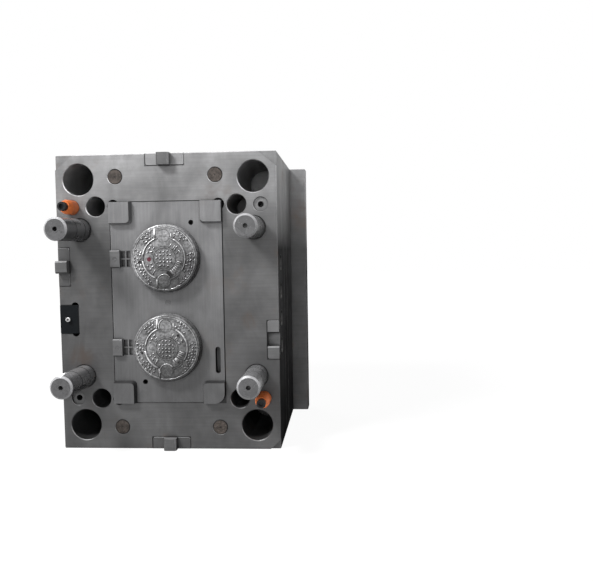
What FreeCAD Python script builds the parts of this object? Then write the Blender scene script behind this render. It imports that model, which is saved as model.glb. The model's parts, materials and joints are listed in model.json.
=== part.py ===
import FreeCAD, Part
import math
import os

# Core (ejector) half of a three-plate injection mould, standing on its lower edge.
# Frame: +Z up, +X to the right seen from the parting face. The parting face lies in Y = 0 and the mould
# runs back towards +Y. The origin is on the mould's centre line at the parting face. Millimetres.

# ---- Mould base -------------------------------------------------------------------------------------
plate_width = 300.0
plate_height = 400.0
core_plate_thickness = 90.0
support_plate_thickness = 45.0
spacer_thickness = 90.0
spacer_share = 58.0 / 300.0          # width of one spacer block over the plate width
clamp_plate_thickness = 30.0
clamp_flange = 25.0
edge_chamfer = 1.0
corner_cut_large = (26.0, 21.0)      # pry recess legs along X and Z
corner_cut_small = (15.0, 14.0)
corner_cut_depth = 4.0

# ---- Fits and clearances ----------------------------------------------------------------------------
seat_gap = 0.05                      # fixed piece in its seat, each side
slide_gap = 0.05                     # sliding pin in its bore, radially
drill_gap = 0.5                      # pin or screw in a clearance hole, radially
over = 1.0                           # how far a cutting form runs past the face it opens
pocket_gap = 0.15                    # insert in its pocket, each side
rim_chamfer = 1.0                    # chamfer on the bores of the parting face
small_chamfer = 0.4
seam_chamfer = 0.6                   # on both edges of a seam in the parting face

# ---- Insert and cores -------------------------------------------------------------------------------
insert_width = 152.0
insert_height = 272.0
insert_depth = 50.0
relief_radius = 8.0
relief_reach = 3.5                   # how far a corner relief stands outside the pocket
insert_corner_radius = 14.0          # the one rounded corner, lower right
pad_size = 30.0
pad_height = 8.0
pad_draft_angle = 15.0               # degrees, on the two inner walls
pad_corner_radius = 5.0
core_pitch = 120.0                   # between the two round cores
core_radius = 46.0
core_wall_top_radius = 45.0
core_wall_height = 11.5
core_edge_radius = 2.0
core_dome = 1.2                      # rise of the top surface from its edge to the middle
core_seat_depth = 25.0
ridge_height = 0.8
ridge_width = 1.2
rim_ridge_radius = 42.0
inner_ridge_radius = 28.5
hub_radius = 15.5
gate_disc_radius = 8.0
gate_disc_offset = 30.0
loop_core_height = 23.0
loop_pad_width = 13.0
loop_pad_height = 6.0
loop_recess_width = 14.0
loop_recess_depth = 3.0
loop_offset = 60.0
loop_core_depth = 30.0
loop_rib = 2.0
slot_size = (7.0, 36.0)
slot_inset = (9.3, 58.0)             # from the insert's right side and lower end
slot_depth = 12.0
jack_hole_radius = 3.4
jack_hole_depth = 20.0
jack_hole_inset = (42.0, 28.5)       # from the insert's side and end

# ---- Guides, locks and bores of the parting face ----------------------------------------------------
# A share gives a place as a part of the way from the insert's side to the plate's side along X, and
# from the centre line to the plate's end along Z.
guide_pin_radius = 15.0
guide_pin_reach = 80.0
guide_pin_share = (42.5 / 74.0, 99.5 / 200.0)
guide_pin_shank_step = 0.2           # the pressed shank is larger than the guide by this
guide_pin_head_step = 2.5
guide_pin_head = 8.0
guide_pin_tip = 2.5
guide_pin_centre = (3.0, 12.0)       # centre hole radius and depth
guide_groove = (2.0, 0.6)            # width and depth of an oil groove
guide_groove_spots = (17.0, 46.0)    # distance of each groove from the parting face
support_bore_radius = 21.0
support_bore_share = (42.5 / 74.0, 167.0 / 200.0)
limit_bore_radius = 13.0
limit_bore_share = (19.75 / 74.0, 130.5 / 200.0)
lock_share = (52.0 / 74.0, 130.0 / 200.0)
lock_sleeve_radius = 9.6
lock_sleeve_tip_radius = 7.2
lock_sleeve_length = 30.0
lock_sleeve_taper = 9.0              # length of the cone at its free end
lock_seat_radius = 9.8
lock_seat_depth = 3.0
lock_thread = 8.0
lock_thread_depth = 32.0
lock_screw_grip = 24.0               # thread in the plate below the seat

side_lock_width = 52.0
side_lock_reach = 16.0               # from the plate edge inwards
side_lock_depth = 22.0
side_lock_corner = 3.0
side_key_width = 17.0
side_key_height = 11.0
side_key_lead = 2.0
side_key_gap = 0.2
side_screw_thread = 6.0
side_screw_pitch = 34.5
side_screw_back = 8.5
side_screw_grip = 14.0
side_lock_left_place = 50.0
side_lock_right_place = -51.0

# ---- Cycle counter ----------------------------------------------------------------------------------
counter_width = 26.0
counter_height = 39.0
counter_depth = 38.0
counter_centre = -21.5               # height of its centre
counter_relief_radius = 5.0
counter_relief_reach = 4.0
counter_relief_side = 0.5
counter_plunger_radius = 3.0
counter_plunger_inset = 12.0
counter_plunger_reach = 4.0
counter_plunger_travel = 3.5
counter_plunger_length = 24.0
counter_plunger_eye = (1.5, 2.0)     # radius and depth of the hollow in its tip
counter_collar_step = 1.5
counter_collar = 4.0
counter_screw_thread = 4.0
counter_screw_pitch = 28.0
counter_screw_back = 30.0
counter_screw_grip = 10.0

# ---- Cooling ----------------------------------------------------------------------------------------
port_heights = (51.0, 12.0, -26.0, -64.0)
port_back = 39.0
port_radius = 12.0
nipple_radius = 8.5
nipple_bore_radius = 4.0
nipple_tip_radius = 7.0
nipple_tip = 16.0
nipple_neck = 5.6                    # from the end back to the groove that the coupling snaps into
nipple_groove = 3.2
nipple_step = 1.0
nipple_inset = 4.0
nipple_thread_radius = 6.5
nipple_thread = 12.0
channel_radius = 4.0
channel_inset = 36.0                 # blind end of a cross drilling, from the insert's left side
channel_link_inset = 42.0
plug_radius = 6.0
plug_length = 10.0

# ---- Ejection ---------------------------------------------------------------------------------------
ejector_side_gap = 2.0
retainer_thickness = 20.0
ejector_plate_thickness = 25.0
stop_pin_height = 5.0
stop_pin_radius = 12.5
stop_stem = (5.0, 10.0)
stop_extra_share = 165.0 / 200.0      # of the way from the centre line to the plate's end
return_pin_radius = 10.0
return_pin_inset = 22.25             # from the side of the ejector plates
return_pin_share = 170.0 / 200.0
return_pin_head_step = 2.5
return_pin_head = 8.0
spring_outer_radius = 19.0
spring_inner_radius = 10.8
spring_seat_depth = 33.0
spring_pocket_gap = 1.5
ejector_pin_radius = 3.0
ejector_pin_head_step = 2.5
ejector_pin_head = 5.0
ejector_pin_spots = (24.0, 20.0)     # from the centre of a core
loop_pin_inset = 6.5                 # from the left edge of the insert
puller_radius = 4.0
guide_rod_radius = 10.0
guide_rod_inset = 24.0               # from the side of the ejector plates
guide_rod_share = 120.0 / 200.0
guide_rod_seat = 15.0
guide_rod_head_step = 2.5
guide_rod_head = 6.0
bush_outer_radius = 15.0
bush_flange_step = 2.5
bush_flange = 6.0
pillar_radius = 20.0
pillar_inset = 30.0                  # the side pillars, from the side of the ejector plates
pillar_share = 120.0 / 200.0         # the upper and lower pillars
pillar_hole_gap = 1.5
knock_out_radius = 20.0

# ---- Screws -----------------------------------------------------------------------------------------
head_ratio = 1.5                     # head diameter over thread diameter
socket_ratio = 0.8                   # socket across flats over thread diameter
socket_depth_ratio = 0.5
head_gap = 0.75
tap_reserve = 2.0                    # a tapped hole is this much deeper than its screw
head_sink = 1.0                      # a head lies this far below the plate's face
side_head_sink = 0.5                 # the same for the small screws of the locks and the counter
side_head_gap = 0.3
assembly_thread = 16.0
assembly_inset = 22.0                # from the side of the plates
assembly_shares = (62.0 / 200.0, 133.0 / 200.0)
assembly_grip = 32.0
insert_thread = 10.0
insert_screw_inset = (16.0, 18.0)
insert_grip = 18.0
core_thread = 8.0
core_screw_offset = 22.0
core_grip = 14.0
loop_thread = 6.0
loop_screw_inset = 14.0              # from the left edge of the insert
loop_grip = 12.0
ejector_thread = 10.0
ejector_screw_insets = (12.0, 50.0)  # from the side of the ejector plates
ejector_screw_shares = (30.0 / 200.0, 185.0 / 200.0)
ejector_grip = 15.0
pillar_thread = 10.0
pillar_grip = 20.0
eyebolt_radius = 7.0
eyebolt_depth = 30.0
eyebolt_back = 60.0

# ---- Planes worked out from the sizes above ---------------------------------------------------------
half_width = plate_width / 2
half_height = plate_height / 2
core_back = core_plate_thickness
support_back = core_back + support_plate_thickness
spacer_back = support_back + spacer_thickness
clamp_back = spacer_back + clamp_plate_thickness
spacer_inner = half_width - spacer_share * plate_width
ejector_half_width = spacer_inner - ejector_side_gap
ejector_back = spacer_back - stop_pin_height
ejector_middle = ejector_back - ejector_plate_thickness
retainer_front = ejector_middle - retainer_thickness
insert_left = -insert_width / 2
insert_right = insert_width / 2
insert_end = insert_height / 2
core_centres = (core_pitch / 2, -core_pitch / 2)
core_shoulder = core_wall_height + core_edge_radius
core_top_radius = core_wall_top_radius - core_edge_radius


def shared_place(share):
    """Place (x, z) from its shares of the insert's side margin and of the half height."""
    return (insert_right + share[0] * (half_width - insert_right), share[1] * half_height)


guide_pin_place = shared_place(guide_pin_share)
support_bore_place = shared_place(support_bore_share)
limit_bore_place = shared_place(limit_bore_share)
lock_place = shared_place(lock_share)
return_pin_place = (ejector_half_width - return_pin_inset, return_pin_share * half_height)
guide_rod_place = (ejector_half_width - guide_rod_inset, guide_rod_share * half_height)
pillar_side_place = ejector_half_width - pillar_inset
pillar_end_place = pillar_share * half_height
stop_extra_place = stop_extra_share * half_height
assembly_places = [(half_width - assembly_inset, share * half_height) for share in assembly_shares]
ejector_screw_places = [(ejector_half_width - inset, share * half_height)
                        for inset, share in zip(ejector_screw_insets, ejector_screw_shares)]
insert_screw_place = (insert_right - insert_screw_inset[0], insert_end - insert_screw_inset[1])
jack_hole_place = (insert_right - jack_hole_inset[0], insert_end - jack_hole_inset[1])
slot_place = (insert_right - slot_inset[0], slot_inset[1] - insert_end)
channel_far_end = insert_left + channel_inset
channel_link_place = insert_left + channel_link_inset


def vector(x, y, z):
    return FreeCAD.Vector(x, y, z)


def block(x, y, z):
    """Box between (low, high) pairs along each axis."""
    return Part.makeBox(x[1] - x[0], y[1] - y[0], z[1] - z[0], vector(x[0], y[0], z[0]))


def rod(radius, place, y):
    """Cylinder along +Y at place (x, z) between the depths y = (front, back)."""
    return Part.makeCylinder(radius, y[1] - y[0], vector(place[0], y[0], place[1]), vector(0, 1, 0))


def rim(radius, place, chamfer=rim_chamfer):
    """Cone that chamfers the mouth of a bore in the parting face."""
    return Part.makeCone(radius + chamfer, radius, chamfer, vector(place[0], 0, place[1]), vector(0, 1, 0))


def quad(place):
    """The four places mirrored about both centre planes."""
    x, z = place
    return [(-x, z), (x, z), (-x, -z), (x, -z)]


def plate(width, y, height):
    """Ground plate with all its edges broken."""
    body = block((-width / 2, width / 2), y, (-height / 2, height / 2))
    return body.makeChamfer(edge_chamfer, body.Edges)


def turned(profile, place=(0.0, 0.0), back=0.0):
    """Solid of revolution about the Y axis from (radius, y) points, moved to place (x, z)."""
    points = [vector(radius, y + back, 0) for radius, y in profile]
    face = Part.Face(Part.makePolygon(points + points[:1]))
    solid = face.revolve(vector(0, 0, 0), vector(0, 1, 0), 360)
    solid.translate(vector(place[0], 0, place[1]))
    return solid


def prism(points, y):
    """Prism along +Y over a polygon of (x, z) points."""
    corners = [vector(x, y[0], z) for x, z in points]
    face = Part.Face(Part.makePolygon(corners + corners[:1]))
    return face.extrude(vector(0, y[1] - y[0], 0))


def slot_prism(place, size, y):
    """Upright slot with round ends."""
    radius = size[0] / 2
    reach = (size[1] - size[0]) / 2
    body = block((place[0] - radius, place[0] + radius), y, (place[1] - reach, place[1] + reach))
    ends = [rod(radius, (place[0], place[1] + side * reach), y) for side in (-1, 1)]
    return body.fuse(ends).removeSplitter()


def cut(body, tools):
    """Body less the tools, as one solid."""
    return body.cut(tools).Solids[0]


def hexagon(across, y):
    radius = across / math.sqrt(3)
    turns = [math.radians(60 * k) for k in range(6)]
    corners = [(radius * math.cos(turn), radius * math.sin(turn)) for turn in turns]
    return prism(corners, y)


def cap_screw(thread, length, socket=True):
    """Socket head screw along Y: the head's underside at Y = 0, the head towards +Y."""
    radius = thread / 2
    head = head_ratio * radius
    chamfer = thread * 0.06
    body = turned([(0, -length), (radius - chamfer, -length), (radius, chamfer - length), (radius, 0),
                   (head, 0), (head, thread - chamfer), (head - chamfer, thread), (0, thread)])
    if not socket:
        return body
    return cut(body, [hexagon(socket_ratio * thread, (thread * (1 - socket_depth_ratio), thread))])


def at(shape, x, y, z, axis=None, angle=0.0):
    """Copy of a shape turned about an axis through the origin, then moved."""
    copy = shape.copy()
    if axis:
        copy.rotate(vector(0, 0, 0), vector(*axis), angle)
    copy.translate(vector(x, y, z))
    return copy


def save(name, shapes):
    shapes = shapes if isinstance(shapes, list) else [shapes]
    whole = shapes[0] if len(shapes) == 1 else Part.makeCompound(shapes)
    whole.exportStep(os.path.join("parts", name + ".step"))


def front_screw_holes(thread, place, tip, seat, back):
    """Clearance hole and head recess of a screw put in from behind; its tapped hole is left to the caller."""
    return [rod(thread / 2 + drill_gap, place, (tip, seat)),
            rod(head_ratio * thread / 2 + head_gap, place, (seat, back))]


# ---- Outline of the insert, shared by the pocket and the insert -------------------------------------
def insert_prism(grow, y):
    """The insert's outline grown by a gap, with its one rounded corner."""
    x_low, x_high = insert_left - grow, insert_right + grow
    z_low, z_high = -insert_end - grow, insert_end + grow
    body = block((x_low, x_high), y, (z_low, z_high))
    edge = [e for e in body.Edges
            if abs(e.CenterOfMass.x - x_high) < 0.01 and abs(e.CenterOfMass.z - z_low) < 0.01]
    return body.makeFillet(insert_corner_radius, edge)


def level_edges(body, y):
    """Edges of a body that lie at one depth."""
    return [e for e in body.Edges if e.BoundBox.YMin > y - 0.01 and e.BoundBox.YMax < y + 0.01]


def seam_mouth(outline, gap):
    """Tool that chamfers the mouth of a pocket: the pocket's outline, wider in front and tapering inwards."""
    mouth = outline(gap + seam_chamfer, (-over, seam_chamfer))
    return mouth.makeChamfer(seam_chamfer, level_edges(mouth, seam_chamfer))


def pocket_reliefs(y):
    inset = relief_radius - relief_reach
    spots = [(-1, 1), (1, 1), (-1, -1)]
    return [rod(relief_radius, (a * (insert_right - inset), b * (insert_end - inset)), y) for a, b in spots]


# ---- Side locks: built at the top edge with the plate edge at Z = 0, then turned into place ---------
side_lock_stations = {
    "top": (0.0, 0.0, half_height, 0.0),
    "bottom": (180.0, 0.0, -half_height, 0.0),
    "left": (-90.0, -half_width, side_lock_left_place, 0.0),
    "right": (90.0, half_width, side_lock_right_place, 0.0),
}


def at_station(shape, name):
    angle, x, z, y = side_lock_stations[name]
    return at(shape, x, y, z, (0, 1, 0), angle)


def side_lock_prism(grow, y):
    half = side_lock_width / 2 + grow
    low = -side_lock_reach - grow
    body = block((-half, half), y, (low, 0 if grow == 0 else side_lock_reach))
    inner = [e for e in body.Edges
             if abs(e.CenterOfMass.z - low) < 0.01 and abs(abs(e.CenterOfMass.x) - half) < 0.01
             and abs(e.CenterOfMass.y - sum(y) / 2) < 0.01]
    return body.makeFillet(side_lock_corner, inner)


def side_screw_spots():
    return [(side * side_screw_pitch / 2, side_screw_back) for side in (-1, 1)]


def upright(radius, x, y, z):
    return Part.makeCylinder(radius, z[1] - z[0], vector(x, y, z[0]), vector(0, 0, 1))


def side_lock(male):
    body = side_lock_prism(0, (0, side_lock_depth))
    body = body.makeChamfer(seam_chamfer, level_edges(body, 0))
    if male:
        half = side_key_width / 2
        key = block((-half, half), (-side_key_height, over), (-side_lock_reach, 0))
        tip = [e for e in key.Edges
               if abs(e.CenterOfMass.y + side_key_height) < 0.01 and abs(abs(e.CenterOfMass.x) - half) < 0.01]
        body = body.fuse(key.makeChamfer(side_key_lead, tip)).removeSplitter().Solids[0]
    else:
        half = side_key_width / 2 + side_key_gap
        mouth = block((-half, half), (-over, side_key_height + side_key_gap), (-side_lock_reach - over, over))
        lead = prism([(-half - side_key_lead, 0), (half + side_key_lead, 0), (half, side_key_lead),
                      (-half, side_key_lead)], (0, side_lock_reach + 2 * over))
        body = cut(body, [mouth, at(lead, 0, 0, over, (1, 0, 0), -90)])
    holes = []
    for x, y in side_screw_spots():
        holes.append(upright(side_screw_thread / 2 + seat_gap * 2, x, y, (-side_lock_reach - over, over)))
        holes.append(upright(head_ratio * side_screw_thread / 2 + side_head_gap, x, y,
                             (-side_screw_thread - side_head_sink, over)))
    return cut(body, holes)


def side_lock_pocket():
    tools = [side_lock_prism(seat_gap, (-over, side_lock_depth + seat_gap)),
             seam_mouth(side_lock_prism, seat_gap)]
    low = -side_lock_reach - side_screw_grip
    for x, y in side_screw_spots():
        tools.append(upright(side_screw_thread / 2 + seat_gap, x, y, (low - over, -side_lock_reach)))
    return tools


# ---- Core plate -------------------------------------------------------------------------------------
def core_plate():
    body = plate(plate_width, (0, core_back), plate_height)
    tools = [insert_prism(pocket_gap, (-over, insert_depth)), seam_mouth(insert_prism, pocket_gap)]
    tools += pocket_reliefs((-over, insert_depth))
    for place in quad(support_bore_place):
        tools += [rod(support_bore_radius, place, (-over, core_back + over)), rim(support_bore_radius, place)]
    for place in quad(limit_bore_place):
        tools += [rod(limit_bore_radius, place, (-over, core_back + over)), rim(limit_bore_radius, place)]
    shank = guide_pin_radius + guide_pin_shank_step + seat_gap
    for place in quad(guide_pin_place):
        tools += [rod(shank, place, (-over, core_back + over)), rim(shank, place),
                  rod(guide_pin_radius + guide_pin_head_step + drill_gap, place,
                      (core_back - guide_pin_head - seat_gap, core_back + over))]
    for place in quad(return_pin_place):
        hole = return_pin_radius + slide_gap
        tools += [rod(hole, place, (-over, core_back + over)), rim(hole, place, seam_chamfer)]
    for place in quad(lock_place):
        tools += [rod(lock_seat_radius, place, (-over, lock_seat_depth)),
                  rim(lock_seat_radius, place, small_chamfer),
                  rod(lock_thread / 2 + seat_gap, place, (0, lock_thread_depth))]
    for name in side_lock_stations:
        tools += [at_station(tool, name) for tool in side_lock_pocket()]
    tools += counter_pocket()
    for z in port_heights:
        tools.append(cross_rod(port_radius, (insert_right - over, half_width + over), port_back, z))
    for place in quad(insert_screw_place):
        head_seat = core_back - insert_thread - head_sink
        tools += [rod(insert_thread / 2 + drill_gap, place, (insert_depth - over, head_seat)),
                  rod(head_ratio * insert_thread / 2 + head_gap, place, (head_seat, core_back + over))]
    for base in assembly_places:
        for place in quad(base):
            tools.append(rod(assembly_thread / 2 + seat_gap, place,
                             (core_back - assembly_grip - tap_reserve, core_back + over)))
    hole = ejector_pin_radius + drill_gap
    tools += [rod(hole, place, (insert_depth - over, core_back + over)) for place in ejector_pin_places()]
    tools.append(rod(puller_radius + drill_gap, (0, 0), (insert_depth - over, core_back + over)))
    for side in (-1, 1):
        tools.append(upright(eyebolt_radius, 0, eyebolt_back,
                             sorted((side * (half_height + over), side * (half_height - eyebolt_depth)))))
    tools += corner_cuts()
    return cut(body, tools)


def corner_cuts():
    """Shallow triangular recesses for a pry bar at three corners of the parting face."""
    cuts = []
    for a, b, legs in ((-1, 1, corner_cut_large), (1, 1, corner_cut_large), (1, -1, corner_cut_small)):
        x, z = a * (half_width + over), b * (half_height + over)
        cuts.append(prism([(x, z), (x - a * (legs[0] + over), z), (x, z - b * (legs[1] + over))],
                          (-over, corner_cut_depth)))
    return cuts


def cross_rod(radius, x, y, z):
    """Cylinder along +X."""
    return Part.makeCylinder(radius, x[1] - x[0], vector(x[0], y, z), vector(1, 0, 0))


def ejector_pin_places():
    round_pins = [(a * ejector_pin_spots[0], z + b * ejector_pin_spots[1])
                  for z in core_centres for a in (-1, 1) for b in (-1, 1)]
    return round_pins + loop_pin_places()


def loop_pin_places():
    return [(insert_left + loop_pin_inset, side * loop_offset) for side in (1, -1)]


# ---- Plates behind the core plate -------------------------------------------------------------------
def support_plate():
    body = plate(plate_width, (core_back, support_back), plate_height)
    through = (core_back - over, support_back + over)
    tools = [rod(support_bore_radius, place, through) for place in quad(support_bore_place)]
    tools += [rod(return_pin_radius + drill_gap, place, through) for place in quad(return_pin_place)]
    tools += [rod(spring_outer_radius + spring_pocket_gap, place,
                  (support_back - spring_seat_depth, support_back + over)) for place in quad(return_pin_place)]
    tools += [rod(guide_rod_radius + seat_gap, place, (support_back - guide_rod_seat, support_back + over))
              for place in quad(guide_rod_place)]
    tools += [rod(assembly_thread / 2 + head_gap, place, through)
              for base in assembly_places for place in quad(base)]
    tools += [rod(ejector_pin_radius + drill_gap, place, through) for place in ejector_pin_places()]
    tools.append(rod(puller_radius + drill_gap, (0, 0), through))
    return cut(body, tools)


def spacer_block(side):
    x = sorted((side * spacer_inner, side * half_width))
    body = block(x, (support_back, spacer_back), (-half_height, half_height))
    body = body.makeChamfer(edge_chamfer, body.Edges)
    through = (support_back - over, spacer_back + over)
    return cut(body, [rod(assembly_thread / 2 + head_gap, (side * x_screw, end * z_screw), through)
                      for x_screw, z_screw in assembly_places for end in (-1, 1)])


def clamp_plate():
    body = plate(plate_width + 2 * clamp_flange, (spacer_back, clamp_back), plate_height)
    through = (spacer_back - over, clamp_back + over)
    tools = [rod(knock_out_radius, (0, 0), through)]
    for base in assembly_places:
        for place in quad(base):
            tools += front_screw_holes(assembly_thread, place, spacer_back - over, assembly_seat(),
                                       clamp_back + over)
    for place in pillar_places():
        tools += front_screw_holes(pillar_thread, place, spacer_back - over, pillar_seat(), clamp_back + over)
    for place in quad(guide_rod_place):
        tools += [rod(guide_rod_radius + seat_gap, place, through),
                  rod(guide_rod_radius + guide_rod_head_step + drill_gap, place,
                      (clamp_back - guide_rod_head - seat_gap, clamp_back + over))]
    tools += [rod(stop_stem[0] + seat_gap, place, (spacer_back - over, spacer_back + stop_stem[1]))
              for place in stop_pin_places()]
    return cut(body, tools)


def assembly_seat():
    return clamp_back - assembly_thread - head_sink


def pillar_seat():
    return clamp_back - pillar_thread - head_sink


def pillar_places():
    return [(-pillar_side_place, 0), (pillar_side_place, 0), (0, pillar_end_place), (0, -pillar_end_place)]


def stop_pin_places():
    return quad(return_pin_place) + [(0, stop_extra_place), (0, -stop_extra_place)]


# ---- Insert and its cores ---------------------------------------------------------------------------
def pad():
    """Interlock pad at the upper right corner of the insert: drafted inner walls, straight outer walls."""
    lean = pad_height * math.tan(math.radians(pad_draft_angle))

    def outline(y, shrink):
        x_out, z_out = insert_right, insert_end
        x_in, z_in = x_out - pad_size + shrink, z_out - pad_size + shrink
        r = pad_corner_radius
        k = r * (1 - math.sqrt(0.5))
        corners = [vector(x_out, y, z_out), vector(x_in, y, z_out), vector(x_in, y, z_in + r),
                   vector(x_in + r, y, z_in), vector(x_out, y, z_in)]
        middle = vector(x_in + k, y, z_in + k)
        edges = [Part.makeLine(corners[0], corners[1]), Part.makeLine(corners[1], corners[2]),
                 Part.Arc(corners[2], middle, corners[3]).toShape(), Part.makeLine(corners[3], corners[4]),
                 Part.makeLine(corners[4], corners[0])]
        return Part.Wire(edges)

    return Part.makeLoft([outline(over, 0), outline(0, 0), outline(-pad_height, lean)], True, True)


def insert_screw_tip():
    return insert_depth - insert_grip


def core_insert():
    body = insert_prism(0, (0, insert_depth))
    body = body.makeChamfer(seam_chamfer, level_edges(body, 0))
    upper_right = pad()
    upper_left = upper_right.mirror(vector(0, 0, 0), vector(1, 0, 0))
    lower_right = upper_right.mirror(vector(0, 0, 0), vector(0, 0, 1))
    lower_left = upper_left.mirror(vector(0, 0, 0), vector(0, 0, 1))
    envelope = insert_prism(0, (-pad_height - over, over))
    pads = [upper_right, upper_left, lower_right.common(envelope).Solids[0], lower_left]
    body = body.fuse(pads).removeSplitter().Solids[0]
    tools = []
    for z in core_centres:
        tools.append(rod(core_radius + seat_gap, (0, z), (-over, core_seat_depth + seat_gap)))
        for side in (-1, 1):
            tools += front_screw_holes(core_thread, (0, z + side * core_screw_offset), core_seat_depth,
                                       insert_depth - core_thread - head_sink, insert_depth + over)
    for side in (-1, 1):
        tools.append(loop_pocket(side))
        place = (insert_left + loop_screw_inset, side * loop_offset)
        tools += front_screw_holes(loop_thread, place, loop_core_depth - over,
                                   insert_depth - loop_thread - head_sink, insert_depth + over)
        tools.append(rod(jack_hole_radius, (side * jack_hole_place[0], side * jack_hole_place[1]),
                         (-over, jack_hole_depth)))
    tools.append(slot_prism(slot_place, slot_size, (-over, slot_depth)))
    tools += [rod(ejector_pin_radius + drill_gap, place, (core_seat_depth - over, insert_depth + over))
              for place in ejector_pin_places()]
    tools.append(rod(puller_radius + slide_gap, (0, 0), (-over, insert_depth + over)))
    for place in quad(insert_screw_place):
        tools.append(rod(insert_thread / 2 + seat_gap, place,
                         (insert_screw_tip() - tap_reserve, insert_depth + over)))
    tools += channels()
    return cut(body, tools)


def channels():
    """Two cooling circuits: pairs of cross drillings joined by a drilling from the insert's end."""
    tools = []
    for z in port_heights:
        tools.append(cross_rod(channel_radius, (channel_far_end, insert_right + over), port_back, z))
        tools.append(cross_rod(nipple_thread_radius + seat_gap,
                               (insert_right - nipple_thread, insert_right + over), port_back, z))
    for side, far in ((1, port_heights[1]), (-1, port_heights[2])):
        z = sorted((far, side * (insert_end + over)))
        tools.append(upright(channel_radius, channel_link_place, port_back, z))
        z = sorted((side * (insert_end - plug_length), side * (insert_end + over)))
        tools.append(upright(plug_radius + seat_gap, channel_link_place, port_back, z))
    return tools


def core_surface():
    """Solid under the round core's moulding surface: drafted wall, rounded edge, slightly domed top."""
    shoulder = vector(core_wall_top_radius, -core_wall_height, 0)
    crown_edge = vector(core_top_radius, -core_shoulder, 0)
    centre = vector(core_top_radius, -core_wall_height, 0)
    middle = centre + vector(math.sqrt(0.5), -math.sqrt(0.5), 0) * core_edge_radius
    crown = vector(0, -core_shoulder - core_dome, 0)
    dome_middle = vector(core_top_radius * 0.5, -core_shoulder - core_dome * 0.75, 0)
    edges = [Part.Arc(crown, dome_middle, crown_edge).toShape(),
             Part.Arc(crown_edge, middle, shoulder).toShape(),
             Part.makeLine(shoulder, vector(core_radius, 0, 0)),
             Part.makeLine(vector(core_radius, 0, 0), vector(core_radius, core_seat_depth, 0)),
             Part.makeLine(vector(core_radius, core_seat_depth, 0), vector(0, core_seat_depth, 0)),
             Part.makeLine(vector(0, core_seat_depth, 0), crown)]
    return Part.Face(Part.Wire(edges)).revolve(vector(0, 0, 0), vector(0, 1, 0), 360)


def ring(outer, inner, y):
    return rod(outer, (0, 0), y).cut(rod(inner, (0, 0), (y[0] - over, y[1] + over)))


def round_core(z):
    """Round core with ring ridges, a hub and two plain gate discs on its top."""
    body = core_surface()
    half = ridge_width / 2
    top = -core_shoulder - core_dome
    ridge_y = (top - ridge_height, top + ridge_height + core_dome)
    discs = [rod(gate_disc_radius, (0, side * gate_disc_offset), (ridge_y[0] + core_dome / 2, ridge_y[1]))
             for side in (-1, 1)]
    clear = [rod(gate_disc_radius, (0, side * gate_disc_offset), (2 * top, 0)) for side in (-1, 1)]
    ridges = [ring(inner_ridge_radius + half, inner_ridge_radius - half, ridge_y).cut(clear),
              ring(rim_ridge_radius + half, rim_ridge_radius - half, (ridge_y[0] + core_dome, ridge_y[1])),
              ring(hub_radius, hub_radius - ridge_width, ridge_y)] + discs
    body = body.fuse(ridges).removeSplitter().Solids[0]
    tools = [rod(ejector_pin_radius + slide_gap, (a * ejector_pin_spots[0], b * ejector_pin_spots[1]),
                 (2 * top, core_seat_depth + over)) for a in (-1, 1) for b in (-1, 1)]
    for side in (-1, 1):
        tools.append(rod(core_thread / 2 + seat_gap, (0, side * core_screw_offset),
                         (core_seat_depth - core_grip - tap_reserve, core_seat_depth + over)))
    return at(cut(body, tools), 0, 0, z)


def loop_pocket(side):
    x = (insert_left - over, insert_left + loop_pad_width + loop_recess_width + seat_gap)
    half = loop_core_height / 2 + seat_gap
    z = side * loop_offset
    return block(x, (-over, loop_core_depth + seat_gap), (z - half, z + half))


def loop_core(side):
    """Small core at the insert's left edge: a raised pad beside a ribbed recess."""
    x_low = insert_left
    x_pad = x_low + loop_pad_width
    x_high = x_pad + loop_recess_width
    z = side * loop_offset
    half = loop_core_height / 2
    body = block((x_low, x_high), (0, loop_core_depth), (z - half, z + half))
    raised = block((x_low, x_pad), (-loop_pad_height, 0), (z - half, z + half))
    front = [e for e in raised.Edges if abs(e.CenterOfMass.y + loop_pad_height) < 0.01
             and e.CenterOfMass.x > x_low + 0.01]
    body = body.fuse(raised.makeChamfer(rim_chamfer, front)).removeSplitter().Solids[0]
    wall = loop_rib / 2
    x_middle = (x_pad + x_high) / 2
    recess = block((x_pad + wall, x_high - wall), (-over, loop_recess_depth),
                   (z - half + wall, z + half - wall))
    rib_y = (-over, loop_recess_depth + over)
    ribs = [block((x_pad, x_high), rib_y, (z - wall, z + wall)),
            block((x_middle - wall, x_middle + wall), rib_y, (z - half, z + half))]
    tools = recess.cut(ribs).Solids
    tools.append(rod(ejector_pin_radius + slide_gap, (x_low + loop_pin_inset, z),
                     (-loop_pad_height - over, loop_core_depth + over)))
    tools.append(rod(loop_thread / 2 + seat_gap, (x_low + loop_screw_inset, z),
                     (loop_core_depth - loop_grip - tap_reserve, loop_core_depth + over)))
    return cut(body, tools)


# ---- Guides and locks -------------------------------------------------------------------------------
def guide_pin(place):
    r = guide_pin_radius
    shank = r + guide_pin_shank_step
    head = r + guide_pin_head_step
    eye, eye_depth = guide_pin_centre
    tip = -guide_pin_reach
    profile = [(0, tip + eye_depth), (eye, tip + eye_depth), (eye, tip), (r - guide_pin_tip, tip),
               (r, tip + guide_pin_tip)]
    width, depth = guide_groove
    for spot in sorted(guide_groove_spots, reverse=True):
        profile += [(r, -spot - width / 2), (r - depth, -spot - width / 2), (r - depth, -spot + width / 2),
                    (r, -spot + width / 2)]
    profile += [(r, 0), (shank, 0), (shank, core_back - guide_pin_head), (head, core_back - guide_pin_head),
                (head, core_back), (0, core_back)]
    return turned(profile, place)


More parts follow.
